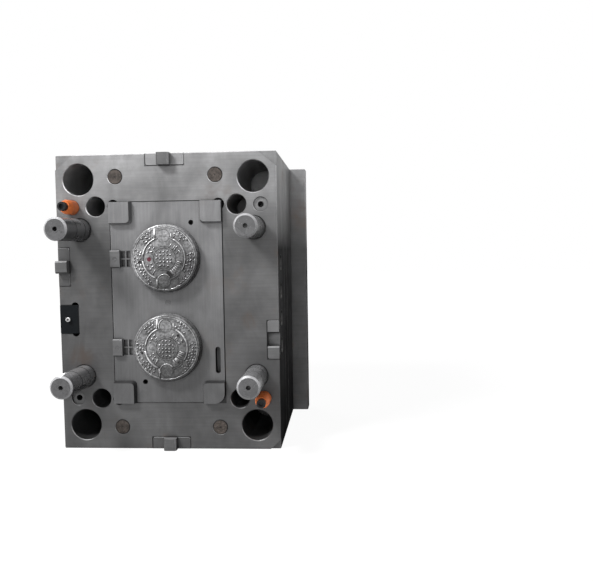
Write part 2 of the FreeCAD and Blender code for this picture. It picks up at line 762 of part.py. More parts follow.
def lock_sleeve(place):
    """Friction sleeve: straight out of its seat, then a cone towards the screw's head."""
    bore = lock_thread / 2 + seat_gap
    front = lock_seat_depth - lock_sleeve_length
    cone = front + lock_sleeve_taper
    return turned([(bore, front), (lock_sleeve_tip_radius, front), (lock_sleeve_radius, cone),
                   (lock_sleeve_radius, lock_seat_depth), (bore, lock_seat_depth)], place)


def lock_screw(place):
    length = lock_sleeve_length + lock_screw_grip
    screw = cap_screw(lock_thread, length)
    return at(screw, place[0], lock_seat_depth - lock_sleeve_length, place[1], (0, 0, 1), 180)


def lock_places():
    x, z = lock_place
    return {"upper": (-x, z), "lower": (x, -z)}


def side_lock_screws(name):
    seat = -side_screw_thread - side_head_sink
    length = side_lock_reach + side_screw_grip + seat
    screw = cap_screw(side_screw_thread, length)
    return [at_station(at(screw, x, y, seat, (1, 0, 0), 90), name) for x, y in side_screw_spots()]


# ---- Cycle counter ----------------------------------------------------------------------------------
def counter_span(grow):
    half = counter_height / 2 - (0 if grow else pocket_gap)
    return (counter_centre - half, counter_centre + half)


def counter_pocket():
    z_low, z_high = counter_span(True)
    x_high = -half_width + counter_width
    tools = [block((-half_width - over, x_high), (-over, counter_depth), (z_low, z_high))]
    inset = counter_relief_radius - counter_relief_reach
    for z in (z_low + inset, z_high - inset):
        tools.append(rod(counter_relief_radius, (x_high - counter_relief_radius + counter_relief_side, z),
                         (-over, counter_depth)))
    for side in (-1, 1):
        tools.append(cross_rod(counter_screw_thread / 2 + seat_gap,
                               (x_high - over, x_high + counter_screw_grip + over),
                               counter_screw_back, counter_centre + side * counter_screw_pitch / 2))
    return tools


def counter_plunger_x():
    return -half_width + counter_plunger_inset


def counter_body():
    x_high = -half_width + counter_width - pocket_gap
    body = block((-half_width, x_high), (0, counter_depth), counter_span(False))
    body = body.makeChamfer(small_chamfer, body.Edges)
    place = (counter_plunger_x(), counter_centre)
    collar = counter_plunger_radius + counter_collar_step
    tools = [rod(counter_plunger_radius + slide_gap, place, (-over, counter_collar)),
             rod(collar + slide_gap * 4, place,
                 (counter_collar, counter_collar * 2 + counter_plunger_travel + counter_plunger_length / 2))]
    for side in (-1, 1):
        z = counter_centre + side * counter_screw_pitch / 2
        tools.append(cross_rod(counter_screw_thread / 2 + seat_gap * 2, (-half_width - over, x_high + over),
                               counter_screw_back, z))
        tools.append(cross_rod(head_ratio * counter_screw_thread / 2 + side_head_gap,
                               (-half_width - over, -half_width + counter_screw_thread + side_head_sink),
                               counter_screw_back, z))
    return cut(body, tools)


def counter_plunger():
    """Counter plunger at rest: its collar bears on the inside of the counter's front wall."""
    r = counter_plunger_radius
    collar = r + counter_collar_step
    eye, eye_depth = counter_plunger_eye
    tip = -counter_plunger_reach
    back = counter_collar * 2
    return turned([(0, tip + eye_depth), (eye, tip + eye_depth), (eye, tip), (r - small_chamfer, tip),
                   (r, tip + small_chamfer), (r, counter_collar), (collar, counter_collar), (collar, back),
                   (0, back)], (counter_plunger_x(), counter_centre))


def counter_screws():
    head_seat = -half_width + counter_screw_thread + side_head_sink
    length = counter_width - counter_screw_thread - side_head_sink + counter_screw_grip
    screw = cap_screw(counter_screw_thread, length)
    places = [counter_centre + side * counter_screw_pitch / 2 for side in (-1, 1)]
    return [at(screw, head_seat, counter_screw_back, z, (0, 0, 1), 90) for z in places]


# ---- Cooling fittings -------------------------------------------------------------------------------
def water_nipple(z):
    """Extension nipple screwed into the insert, its quick-coupling end sunk below the plate edge."""
    start = insert_right - nipple_thread
    end = half_width - nipple_inset
    neck, groove = nipple_neck, nipple_groove
    waist = nipple_tip_radius - nipple_step
    bore = nipple_bore_radius
    profile = [(bore, start), (nipple_thread_radius, start), (nipple_thread_radius, insert_right),
               (nipple_radius, insert_right), (nipple_radius, end - nipple_tip),
               (nipple_tip_radius, end - nipple_tip), (nipple_tip_radius, end - neck - groove),
               (waist, end - neck - groove), (waist, end - neck),
               (nipple_tip_radius, end - neck), (nipple_tip_radius, end - nipple_step), (waist, end),
               (bore, end)]
    solid = turned(profile)
    return at(solid, 0, port_back, z, (0, 0, 1), -90)


def channel_plugs():
    plugs = []
    for side in (-1, 1):
        z = sorted((side * (insert_end - plug_length), side * insert_end))
        plugs.append(upright(plug_radius, channel_link_place, port_back, z))
    return plugs


# ---- Ejection ---------------------------------------------------------------------------------------
def return_pin(place):
    r = return_pin_radius
    head = r + return_pin_head_step
    return turned([(0, 0), (r - seam_chamfer, 0), (r, seam_chamfer), (r, ejector_middle - return_pin_head),
                   (head, ejector_middle - return_pin_head), (head, ejector_middle), (0, ejector_middle)],
                  place)


def return_spring(place):
    """Outer form of the spring between its pocket in the support plate and the retainer plate."""
    y = (support_back - spring_seat_depth, retainer_front)
    return rod(spring_outer_radius, place, y).cut(rod(spring_inner_radius, place, (y[0] - over, y[1] + over)))


def headed_pin(radius, head_step, head_height, place, tip):
    head = radius + head_step
    neck = ejector_middle - head_height
    return turned([(0, tip), (radius, tip), (radius, neck), (head, neck), (head, ejector_middle),
                   (0, ejector_middle)], place)


def ejector_pins(z):
    """Pins of one round core, their tips dressed to its domed surface."""
    pins = []
    surface = at(core_surface(), 0, 0, z)
    for a in (-1, 1):
        for b in (-1, 1):
            place = (a * ejector_pin_spots[0], z + b * ejector_pin_spots[1])
            long_pin = headed_pin(ejector_pin_radius, ejector_pin_head_step, ejector_pin_head, place,
                                  -2 * core_shoulder)
            tip = rod(2 * ejector_pin_radius, place, (-3 * core_shoulder, 0)).cut(surface)
            pins.append(cut(long_pin, [tip]))
    return pins


def pin_pocket(radius, head_step, head_height, place):
    """Shank hole and head recess of a headed pin in the retainer plate."""
    return [rod(radius + drill_gap, place, (retainer_front - over, ejector_middle + over)),
            rod(radius + head_step + drill_gap, place,
                (ejector_middle - head_height - seat_gap, ejector_middle + over))]


def ejector_blank(y):
    body = block((-ejector_half_width, ejector_half_width), y, (-half_height, half_height))
    return body.makeChamfer(edge_chamfer, body.Edges)


def ejector_screw_seat():
    return ejector_back - ejector_thread - head_sink


def ejector_screw_spots():
    return [place for base in ejector_screw_places for place in quad(base)]


def retainer_plate():
    body = ejector_blank((retainer_front, ejector_middle))
    through = (retainer_front - over, ejector_middle + over)
    tools = []
    for place in quad(return_pin_place):
        tools += pin_pocket(return_pin_radius, return_pin_head_step, return_pin_head, place)
    for place in ejector_pin_places():
        tools += pin_pocket(ejector_pin_radius, ejector_pin_head_step, ejector_pin_head, place)
    tools += pin_pocket(puller_radius, ejector_pin_head_step, ejector_pin_head, (0, 0))
    for place in quad(guide_rod_place):
        tools.append(rod(bush_outer_radius + seat_gap, place, through))
    tools += [rod(pillar_radius + pillar_hole_gap, place, through) for place in pillar_places()]
    tools += [rod(ejector_thread / 2 + seat_gap, place,
                  (ejector_middle - ejector_grip - tap_reserve, ejector_middle + over))
              for place in ejector_screw_spots()]
    return cut(body, tools)


def ejector_plate():
    body = ejector_blank((ejector_middle, ejector_back))
    through = (ejector_middle - over, ejector_back + over)
    tools = []
    for place in quad(guide_rod_place):
        tools += [rod(bush_outer_radius + seat_gap, place, through),
                  rod(bush_outer_radius + bush_flange_step + drill_gap, place,
                      (ejector_middle - over, ejector_middle + bush_flange + seat_gap))]
    tools += [rod(pillar_radius + pillar_hole_gap, place, through) for place in pillar_places()]
    for place in ejector_screw_spots():
        tools += front_screw_holes(ejector_thread, place, ejector_middle - over, ejector_screw_seat(),
                                   ejector_back + over)
    return cut(body, tools)


def ejector_bush(place):
    bore = guide_rod_radius + slide_gap
    flange = bush_outer_radius + bush_flange_step
    return turned([(bore, retainer_front), (bush_outer_radius, retainer_front),
                   (bush_outer_radius, ejector_middle), (flange, ejector_middle),
                   (flange, ejector_middle + bush_flange),
                   (bush_outer_radius, ejector_middle + bush_flange), (bush_outer_radius, ejector_back),
                   (bore, ejector_back)], place)


def guide_rod(place):
    r = guide_rod_radius
    head = r + guide_rod_head_step
    front = support_back - guide_rod_seat
    return turned([(0, front), (r - small_chamfer, front), (r, front + small_chamfer),
                   (r, clamp_back - guide_rod_head), (head, clamp_back - guide_rod_head), (head, clamp_back),
                   (0, clamp_back)], place)


def stop_pin(place):
    stem, stem_length = stop_stem
    return turned([(0, ejector_back), (stop_pin_radius - small_chamfer, ejector_back),
                   (stop_pin_radius, ejector_back + small_chamfer), (stop_pin_radius, spacer_back),
                   (stem, spacer_back), (stem, spacer_back + stem_length - small_chamfer),
                   (0, spacer_back + stem_length - small_chamfer)], place)


def support_pillar(place):
    body = rod(pillar_radius, place, (support_back, spacer_back))
    return cut(body, [rod(pillar_thread / 2 + seat_gap, place,
                          (spacer_back - pillar_grip - tap_reserve, spacer_back + over))])


# ---- Write one file per piece or group of like fasteners --------------------------------------------
os.makedirs("parts", exist_ok=True)

save("core_plate", core_plate())
save("support_plate", support_plate())
save("spacer_block_left", spacer_block(-1))
save("spacer_block_right", spacer_block(1))
save("clamp_plate", clamp_plate())
save("core_insert", core_insert())
for name, z in zip(("upper", "lower"), core_centres):
    save("round_core_" + name, round_core(z))
    save("ejector_pins_" + name, ejector_pins(z))
for name, side in (("upper", 1), ("lower", -1)):
    save("loop_core_" + name, loop_core(side))
for name, place in zip(("upper_left", "upper_right", "lower_left", "lower_right"), quad(guide_pin_place)):
    save("guide_pin_" + name, guide_pin(place))
for name, place in zip(("upper_left", "upper_right", "lower_left", "lower_right"), quad(return_pin_place)):
    save("return_pin_" + name, return_pin(place))
for name in side_lock_stations:
    save("side_lock_" + name, at_station(side_lock(name != "right"), name))
save("side_lock_screws", [screw for name in side_lock_stations for screw in side_lock_screws(name)])
for name, place in lock_places().items():
    save("parting_lock_sleeve_" + name, lock_sleeve(place))
save("parting_lock_screws", [lock_screw(place) for place in lock_places().values()])
save("counter_body", counter_body())
save("counter_plunger", counter_plunger())
save("counter_screws", counter_screws())
for number, z in enumerate(port_heights, 1):
    save("water_nipple_%d" % number, water_nipple(z))
save("channel_plugs", channel_plugs())

insert_screw = cap_screw(insert_thread, core_back - insert_thread - head_sink - insert_screw_tip(), False)
save("insert_screws", [at(insert_screw, x, core_back - insert_thread - head_sink, z)
                       for x, z in quad(insert_screw_place)])
core_screw = cap_screw(core_thread, insert_depth - core_thread - head_sink - core_seat_depth + core_grip, False)
save("round_core_screws", [
    at(core_screw, 0, insert_depth - core_thread - head_sink, z + side * core_screw_offset)
    for z in core_centres for side in (-1, 1)])
loop_screw = cap_screw(loop_thread, insert_depth - loop_thread - head_sink - loop_core_depth + loop_grip, False)
save("loop_core_screws", [at(loop_screw, insert_left + loop_screw_inset, insert_depth - loop_thread - head_sink,
                             side * loop_offset) for side in (1, -1)])
assembly_screw = cap_screw(assembly_thread, assembly_seat() - core_back + assembly_grip)
save("assembly_screws", [at(assembly_screw, x, assembly_seat(), z)
                         for base in assembly_places for x, z in quad(base)])
pillar_screw = cap_screw(pillar_thread, pillar_seat() - spacer_back + pillar_grip)
save("pillar_screws", [at(pillar_screw, x, pillar_seat(), z) for x, z in pillar_places()])
save("support_pillars", [support_pillar(place) for place in pillar_places()])
save("stop_pins", [stop_pin(place) for place in stop_pin_places()])
save("ejector_guide_pins", [guide_rod(place) for place in quad(guide_rod_place)])
save("return_springs", [return_spring(place) for place in quad(return_pin_place)])

save("retainer_plate", retainer_plate())
save("ejector_plate", ejector_plate())
save("ejector_bushes", [ejector_bush(place) for place in quad(guide_rod_place)])
save("loop_ejector_pins", [headed_pin(ejector_pin_radius, ejector_pin_head_step, ejector_pin_head, place,
                                      -loop_pad_height) for place in loop_pin_places()])
save("runner_puller_pin", headed_pin(puller_radius, ejector_pin_head_step, ejector_pin_head, (0, 0), 0))
ejector_screw = cap_screw(ejector_thread, ejector_screw_seat() - ejector_middle + ejector_grip)
save("ejector_plate_screws", [at(ejector_screw, x, ejector_screw_seat(), z) for x, z in ejector_screw_spots()])
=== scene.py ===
"""Looks, springs, core relief, stage, lamps and camera for the injection mould half, in metres."""
import json
import math
import random

import bmesh
import bpy
from mathutils import Matrix, Vector


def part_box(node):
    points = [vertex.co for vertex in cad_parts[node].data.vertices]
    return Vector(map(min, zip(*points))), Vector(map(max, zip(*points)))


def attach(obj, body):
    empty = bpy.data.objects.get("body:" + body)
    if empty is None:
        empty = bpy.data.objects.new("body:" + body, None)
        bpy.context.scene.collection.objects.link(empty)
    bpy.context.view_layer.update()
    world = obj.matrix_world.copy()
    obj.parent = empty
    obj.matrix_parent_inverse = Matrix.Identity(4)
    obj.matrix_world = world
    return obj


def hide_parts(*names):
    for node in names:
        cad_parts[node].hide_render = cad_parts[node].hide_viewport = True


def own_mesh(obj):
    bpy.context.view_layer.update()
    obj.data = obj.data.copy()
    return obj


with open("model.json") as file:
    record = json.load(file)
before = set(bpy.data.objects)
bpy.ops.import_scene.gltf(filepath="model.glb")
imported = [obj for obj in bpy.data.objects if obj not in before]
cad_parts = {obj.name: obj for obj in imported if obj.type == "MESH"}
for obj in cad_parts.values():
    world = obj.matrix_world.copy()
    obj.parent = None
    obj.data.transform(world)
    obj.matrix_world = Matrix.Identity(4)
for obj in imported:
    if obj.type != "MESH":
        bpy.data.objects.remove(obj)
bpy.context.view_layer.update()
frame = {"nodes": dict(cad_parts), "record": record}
nodes = frame["nodes"]

MM = 0.001
RETURN_PIN_RADIUS = 10.0 * MM

# ---- Camera: on the operator's side of the parting face, a little above and right of the mould -------
CAMERA_PLACE = (0.2379, -0.8991, 0.0733)
CAMERA_YAW = 4.06                    # degrees to the left of straight ahead
CAMERA_PITCH = -3.71
CAMERA_ROLL = -0.87
LENS_MM = 41.26
SENSOR_MM = 36.0

# ---- Stage -------------------------------------------------------------------------------------------
FLOOR_SIZE = 12.0
FLOOR_TONE = 0.9
FLOOR_GLOW = 0.9                     # share of the floor's white that a shadow doesn't darken
FLOOR_GLOW_STRENGTH = 1.05
FLOOR_NEAR, FLOOR_FAR = 0.7, 2.2      # the shadowless share grows to the whole between these distances
FLOOR_GAP = 0.2 * MM                 # between the mould and the floor under it
WORLD_FILL = 0.16                    # the world's light on the object; straight views of it are white
LAMPS = (  # name, place, what it looks at, side of its square, watts
    ("key", (-0.85, -0.95, 1.25), (0.0, 0.0, 0.0), 0.4, 44.0),
    ("fill", (0.5, -2.0, 0.6), (0.0, 0.1, 0.0), 1.2, 12.0),
    ("back", (-1.5, 2.1, 0.3), (0.0, 0.1, 0.0), 1.2, 42.0),
)

# ---- Directions and sizes used by the finishes -------------------------------------------------------
FRONT, RIGHT, UP, LEFT = (0, 1, 0), (1, 0, 0), (0, 0, 1), (-1.0, 0.0, 0.0)
UP_LEFT, UP_RIGHT = (-0.5, 0.0, 0.86), (0.5, 0.0, 0.86)
NOISE_LOW, NOISE_HIGH = 0.3, 0.7      # most of a noise lies between these
SPOT_DEPTH = -15.2 * MM              # dye marks and the painted shade of small holes lie on the cores' tops
plate_low, plate_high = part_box("core_plate")


# ======================================================================================================
# Small node-tree builder
# ======================================================================================================
class Tree:
    """A material's nodes, built by calls that return output sockets."""

    def __init__(self, name):
        self.material = bpy.data.materials.new(name)
        self.material.use_nodes = True
        self.nodes = self.material.node_tree.nodes
        self.links = self.material.node_tree.links
        self.shader = self.nodes["Principled BSDF"]
        self.place = self.nodes.new("ShaderNodeTexCoord").outputs["Object"]

    def _set(self, socket, value):
        if isinstance(value, bpy.types.NodeSocket):
            self.links.new(value, socket)
        elif isinstance(value, (tuple, list)) and len(value) == 3 and socket.type == "RGBA":
            socket.default_value = (*value, 1.0)
        else:
            socket.default_value = value

    def math(self, operation, a, b=0.0):
        node = self.nodes.new("ShaderNodeMath")
        node.operation = operation
        self._set(node.inputs[0], a)
        self._set(node.inputs[1], b)
        return node.outputs[0]

    def split(self, vector):
        node = self.nodes.new("ShaderNodeSeparateXYZ")
        self._set(node.inputs[0], vector)
        return node.outputs

    def stretch(self, scale, offset=(0.0, 0.0, 0.0)):
        """Texture place with its own scale along X, Y and Z."""
        node = self.nodes.new("ShaderNodeMapping")
        self._set(node.inputs["Vector"], self.place)
        node.inputs["Scale"].default_value = scale
        node.inputs["Location"].default_value = offset
        return node.outputs[0]

    def noise(self, scale, detail=3.0, vector=None, rough=0.55, distortion=0.0):
        node = self.nodes.new("ShaderNodeTexNoise")
        self._set(node.inputs["Vector"], vector if vector is not None else self.place)
        node.inputs["Scale"].default_value = scale
        node.inputs["Detail"].default_value = detail
        node.inputs["Roughness"].default_value = rough
        node.inputs["Distortion"].default_value = distortion
        return node.outputs["Fac"]

    def ranged(self, value, low, high, to_low=0.0, to_high=1.0):
        """The value mapped smoothly from one range to another, and held at its ends."""
        node = self.nodes.new("ShaderNodeMapRange")
        node.interpolation_type = "SMOOTHSTEP"
        self._set(node.inputs["Value"], value)
        node.inputs["From Min"].default_value = low
        node.inputs["From Max"].default_value = high
        node.inputs["To Min"].default_value = to_low
        node.inputs["To Max"].default_value = to_high
        return node.outputs[0]

    def mix(self, factor, a, b):
        node = self.nodes.new("ShaderNodeMix")
        node.data_type = "RGBA"
        self._set(node.inputs["Factor"], factor)
        self._set(node.inputs[6], a)
        self._set(node.inputs[7], b)
        return node.outputs[2]

    def shade(self, colour, amount):
        """Colour times a grey amount."""
        node = self.nodes.new("ShaderNodeVectorMath")
        node.operation = "SCALE"
        self._set(node.inputs[0], colour)
        self._set(node.inputs["Scale"], amount)
        return node.outputs[0]

    def times(self, *amounts):
        """Product of grey amounts."""
        product = amounts[0]
        for amount in amounts[1:]:
            product = self.math("MULTIPLY", amount, product)
        return product

    def distance(self, centre):
        """Distance from a point of the part, in metres."""
        node = self.nodes.new("ShaderNodeVectorMath")
        node.operation = "DISTANCE"
        self._set(node.inputs[0], self.place)
        node.inputs[1].default_value = centre
        return node.outputs["Value"]

    def outside_box(self, low, high):
        """Distance outside a box's outline as seen from the front, less than 0 within it."""
        x, y, z = self.split(self.place)
        reach = []
        for along, one, two in ((x, low.x, high.x), (z, low.z, high.z)):
            offset = self.math("ABSOLUTE", self.math("SUBTRACT", along, (one + two) / 2))
            reach.append(self.math("SUBTRACT", offset, (two - one) / 2))
        return self.math("MAXIMUM", *reach)

    def from_axis(self, x0, z0):
        """Distance from an axis along Y, folded so that one place stands for its mirror images too."""
        x, y, z = self.split(self.place)
        u = self.math("SUBTRACT", self.math("ABSOLUTE", x), x0)
        v = self.math("SUBTRACT", self.math("ABSOLUTE", z), z0)
        return self.math("SQRT", self.math("ADD", self.math("MULTIPLY", u, u), self.math("MULTIPLY", v, v)))

    def crevice(self, reach):
        """1 on open faces, falling to 0 in corners, seams and holes narrower than the reach."""
        node = self.nodes.new("ShaderNodeAmbientOcclusion")
        node.samples = 6
        node.inputs["Distance"].default_value = reach
        return node.outputs["AO"]

    def facing(self, axis):
        """The surface normal's share along an axis of the part."""
        normal = self.nodes.new("ShaderNodeTexCoord").outputs["Normal"]
        node = self.nodes.new("ShaderNodeVectorMath")
        node.operation = "DOT_PRODUCT"
        self._set(node.inputs[0], normal)
        node.inputs[1].default_value = axis
        return node.outputs["Value"]

    def bump(self, height, strength, distance):
        node = self.nodes.new("ShaderNodeBump")
        node.inputs["Strength"].default_value = strength
        node.inputs["Distance"].default_value = distance
        self._set(node.inputs["Height"], height)
        self._set(self.shader.inputs["Normal"], node.outputs[0])

    def finish(self, colour, roughness, metallic, specular=0.5):
        self._set(self.shader.inputs["Base Color"], colour)
        self._set(self.shader.inputs["Roughness"], roughness)
        self._set(self.shader.inputs["Metallic"], metallic)
        self._set(self.shader.inputs["Specular IOR Level"], specular)
        return self.material


# ======================================================================================================
# Finishes
# ======================================================================================================
STAIN, BROWN, OILY = (0.085, 0.058, 0.043), (0.06, 0.042, 0.032), (0.034, 0.033, 0.034)
# The second colour is painted shade: near-black spots standing in for small holes.
DYE, PAINTED_HOLE_SHADE = (0.085, 0.012, 0.024), (0.006, 0.006, 0.006)


def ground_steel(name, tone, metallic=0.35, rough=(0.34, 0.5), blotch=0.3, grain_axis="x", stain=0.0,
                 height_fade=(0.0, 1.0, 1.0), side_tone=0.6, top_tone=0.4, proud_tone=0.0, dirt_and_crevice_shade=0.5,
                 marks=(), edge_lit=UP_RIGHT, seams=()):
    """Surface-ground tool steel: fine grinding lines, cloudy patches, oily smears and brown stains.

    height_fade is (low, high, gain): painted top light, the tone growing by gain between those shares of the
    plate's half height. side_tone and top_tone are painted shade and light on the faces to the right and on top,
    the right faces darker towards the bottom, and proud_tone is the gain of what stands in front of the parting
    face, in place of the painted top light. Bevels that face edge_lit get a painted highlight and the opposite ones
    painted shade. marks are (centre, radius, strength, tint) spots, and seams are boxes with a dark outline on the
    front, painted shade in the seams.
    """
    t = Tree(name)
    x, y, z = t.split(t.place)
    along = {"x": (14.0, 380.0, 380.0), "z": (380.0, 380.0, 14.0)}[grain_axis]
    lines = t.noise(1.0, 3.0, t.stretch(along))
    cloud = t.noise(9.0, 4.0, rough=0.6)
    smear = t.noise(24.0, 5.0, t.stretch((1.0, 1.0, 0.45)), rough=0.65, distortion=0.6)
    fine = t.noise(900.0, 2.0)
    fade_low, fade_high, fade = height_fade
    front = t.math("ABSOLUTE", t.facing(FRONT))
    lit = t.facing(edge_lit)
    right = t.ranged(t.facing(RIGHT), 0.3, 0.6)
    top = t.ranged(t.facing(UP), 0.6, 0.9)
    # Painted shade and light by facing: faces to the right darken towards the bottom, top faces take top_tone and
    # the other sides 0.9.
    other = t.times(t.ranged(front, 0.3, 0.6, 1.0, 0.0), t.math("SUBTRACT", 1.0, right),
                    t.ranged(top, 0.0, 1.0, 0.9, top_tone))
    bevel = t.times(t.ranged(front, 0.3, 0.6), t.ranged(front, 0.8, 0.95, 1.0, 0.0))
    painted_side_shade = t.times(right, t.ranged(z, -plate_high.z, plate_high.z, side_tone * 0.38, side_tone))
    shading = t.math("ADD", t.math("ADD", t.ranged(front, 0.3, 0.6), painted_side_shade), other)
    # Painted top light: the tone grows towards the top of the plate, and parts standing proud take proud_tone
    # instead.
    fade_amount = t.ranged(z, fade_low * plate_high.z, fade_high * plate_high.z, 1.0, fade)
    if proud_tone:
        proud = t.ranged(y, -2 * MM, -1 * MM, 1.0, 0.0)
        fade_amount = t.math("ADD", t.times(fade_amount, t.math("SUBTRACT", 1.0, proud)),
                             t.times(proud_tone, proud))
    amount = t.times(
        t.ranged(cloud, 0.3, 0.72, 1.0 - blotch, 1.0 + blotch * 0.6),
        t.ranged(smear, 0.3, 0.72, 0.84, 1.12),
        t.ranged(lines, 0.3, 0.72, 0.93, 1.06),
        t.ranged(fine, 0.3, 0.72, 0.96, 1.04),
        # Painted highlight on bevels that face edge_lit, painted shade on those facing away.
        t.math("ADD", 1.0, t.times(bevel, t.ranged(lit, 0.25, 0.6, 0.0, 1.6))),
        t.math("SUBTRACT", 1.0, t.times(bevel, t.ranged(lit, -0.6, -0.25, 0.85, 0.0))),
        fade_amount)
    # Painted shade in the seams: a dark outline round each box on the front.
    for low, high in seams:
        seam = t.times(t.ranged(t.outside_box(low, high), 0.7 * MM, 1.3 * MM, 0.82, 0.0),
                       t.ranged(front, 0.3, 0.6), t.ranged(y, 2 * MM, 4 * MM, 1.0, 0.0))
        amount = t.times(amount, t.math("SUBTRACT", 1.0, seam))
    colour = t.shade(tone, amount)
    if stain:
        brown = t.noise(13.0, 4.0, t.stretch((1.0, 1.0, 1.0), (0.31, 0.12, 0.77)), rough=0.7)
        colour = t.mix(t.ranged(brown, 0.56, 0.78, 0.0, stain), colour, STAIN)
    for centre, radius, strength, tint in marks:
        spot = t.ranged(t.distance(centre), radius * 0.4, radius, strength, 0.0)
        colour = t.mix(t.times(spot, t.ranged(smear, 0.42, 0.6)), colour, tint)
    # Painted shade: the shading by facing, times darkening in corners, seams and holes from the crevice term.
    colour = t.shade(colour, t.times(shading, t.ranged(t.crevice(9 * MM), 0.25, 0.8, 1.0 - dirt_and_crevice_shade, 1.0)))
    t.bump(t.math("ADD", lines, t.math("MULTIPLY", cloud, 0.4)), 0.25, 0.08 * MM)
    sheen = t.times(right, t.ranged(z, 0.35 * plate_high.z, plate_high.z, 0.0, 0.2))
    bright = t.times(t.ranged(right, 0.0, 1.0, 1.0, 0.0), t.ranged(top, 0.0, 1.0, 1.0, 0.15))
    return t.finish(colour, t.ranged(smear, NOISE_LOW, NOISE_HIGH, *rough), t.math("MULTIPLY", bright, metallic),
                    t.math("ADD", sheen, t.math("MULTIPLY", bright, 0.5)))


def turned_steel(name, tone):
    """Cylindrically ground pin: fine rings across the axis, light smears along it, painted shade underneath and
    painted highlights on top and on the chamfers.
    """
    t = Tree(name)
    rings = t.noise(1.0, 3.0, t.stretch((12.0, 1500.0, 12.0)))
    smear = t.noise(40.0, 4.0, t.stretch((1.0, 0.3, 1.0)), rough=0.6)
    speck = t.noise(380.0, 3.0)
    front = t.math("ABSOLUTE", t.facing(FRONT))
    amount = t.times(
        t.ranged(rings, 0.25, 0.75, 0.86, 1.12),
        t.ranged(smear, NOISE_LOW, NOISE_HIGH, 0.8, 1.1),
        t.ranged(speck, 0.3, 0.75, 1.05, 0.88),
        # Painted shade underneath and painted light on top, with a painted highlight along the top.
        t.ranged(t.facing(UP), -0.7, 0.6, 0.4, 1.5),
        t.ranged(t.facing(UP), 0.6, 0.95, 1.0, 2.0),
        # Painted highlight on the chamfers, with the flat end faces kept darker.
        t.ranged(front, 0.3, 0.6, 1.0, 2.8),
        t.ranged(front, 0.8, 0.97, 1.0, 0.3),
        # Painted shade in crevices.
        t.ranged(t.crevice(6 * MM), 0.3, 0.9, 0.4, 1.0))
    t.bump(rings, 0.12, 0.05 * MM)
    return t.finish(t.shade(tone, amount), t.ranged(smear, NOISE_LOW, NOISE_HIGH, 0.2, 0.32), 0.4)


def rusty_pin(name):
    """Return pin end: dull brown film over ground steel, painted shade in the seam round it and a dark centre mark.
    """
    t = Tree(name)
    patch = t.noise(120.0, 5.0, rough=0.7)
    flake = t.noise(500.0, 4.0, rough=0.7)
    low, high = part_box("return_pin_upper_right")
    r = t.from_axis((low.x + high.x) / 2, (low.z + high.z) / 2)
    colour = t.mix(t.ranged(patch, 0.38, 0.62), (0.055, 0.044, 0.037), (0.02, 0.015, 0.012))
    colour = t.mix(t.ranged(flake, 0.5, 0.7, 0.0, 0.6), colour, (0.14, 0.12, 0.108))
    # Painted shade in the seam round the pin's edge.
    seam = t.ranged(r, RETURN_PIN_RADIUS - 1.2 * MM, RETURN_PIN_RADIUS - 0.6 * MM, 1.0, 0.15)
    centre_mark = t.ranged(r, 0.7 * MM, 1.4 * MM, 0.2, 1.0)
    colour = t.shade(colour, t.times(seam, centre_mark))
    t.bump(flake, 0.35, 0.15 * MM)
    return t.finish(colour, t.ranged(patch, NOISE_LOW, NOISE_HIGH, 0.45, 0.65), 0.4)


def polished_steel(name, tone, crown=(0.0, 0.0), slope_gain=1.4, spots=(), dirt_and_crevice_shade=0.7):
    """Polished moulding surface with painted light: a brighter upper left and bright upper-left slopes, with
    painted shade on the lower right, on the lower-right slopes and in the gaps.

    crown is the core's centre, and spots are (right, up, radius, tint) from it, in millimetres.
    """
    t = Tree(name)
    x, y, z = t.split(t.place)
    smear = t.noise(55.0, 4.0, rough=0.6)
    fine = t.noise(330.0, 4.0, rough=0.65)
    # Painted light across the core: brighter to the upper left, darker to the lower right.
    across = t.math("MULTIPLY", t.math("SUBTRACT", x, crown[0]), UP_LEFT[0])
    lean = t.math("ADD", across, t.math("MULTIPLY", t.math("SUBTRACT", z, crown[1]), UP_LEFT[2]))
    slope = t.facing(UP_LEFT)
    amount = t.times(
        t.ranged(smear, NOISE_LOW, NOISE_HIGH, 0.6, 1.3),
        t.ranged(fine, 0.32, 0.68, 0.55, 1.4),
        t.ranged(lean, -45 * MM, 45 * MM, 0.45, 1.715),
        # Painted highlight on slopes facing the upper left, painted shade on those facing away.
        t.ranged(slope, 0.12, 0.6, 1.0, slope_gain),
        t.ranged(slope, -0.6, -0.12, 0.08, 1.0),
        # Painted shade in the gaps round the relief.
        t.ranged(t.crevice(2.5 * MM), 0.6, 0.95, 1.0 - dirt_and_crevice_shade, 1.0))
    t.bump(t.math("ADD", smear, t.math("MULTIPLY", fine, 0.6)), 0.8, 0.6 * MM)
    colour = t.shade(tone, amount)
    for u, w, radius, tint in spots:
        r = t.distance((crown[0] + u * MM, SPOT_DEPTH, crown[1] + w * MM))
        colour = t.mix(t.ranged(r, 0.8 * radius * MM, radius * MM, 0.95, 0.0), colour, tint)
    return t.finish(colour, t.ranged(smear, NOISE_LOW, NOISE_HIGH, 0.14, 0.28), 0.3)


def black_oxide(name):
    """Blackened screw steel, worn to grey in places."""
    t = Tree(name)
    wear = t.noise(300.0, 4.0, rough=0.65)
    colour = t.mix(t.ranged(wear, 0.55, 0.8, 0.0, 0.6), (0.012, 0.012, 0.013), (0.06, 0.055, 0.05))
    t.bump(wear, 0.2, 0.05 * MM)
    return t.finish(colour, t.ranged(wear, NOISE_LOW, NOISE_HIGH, 0.32, 0.5), 0.6)


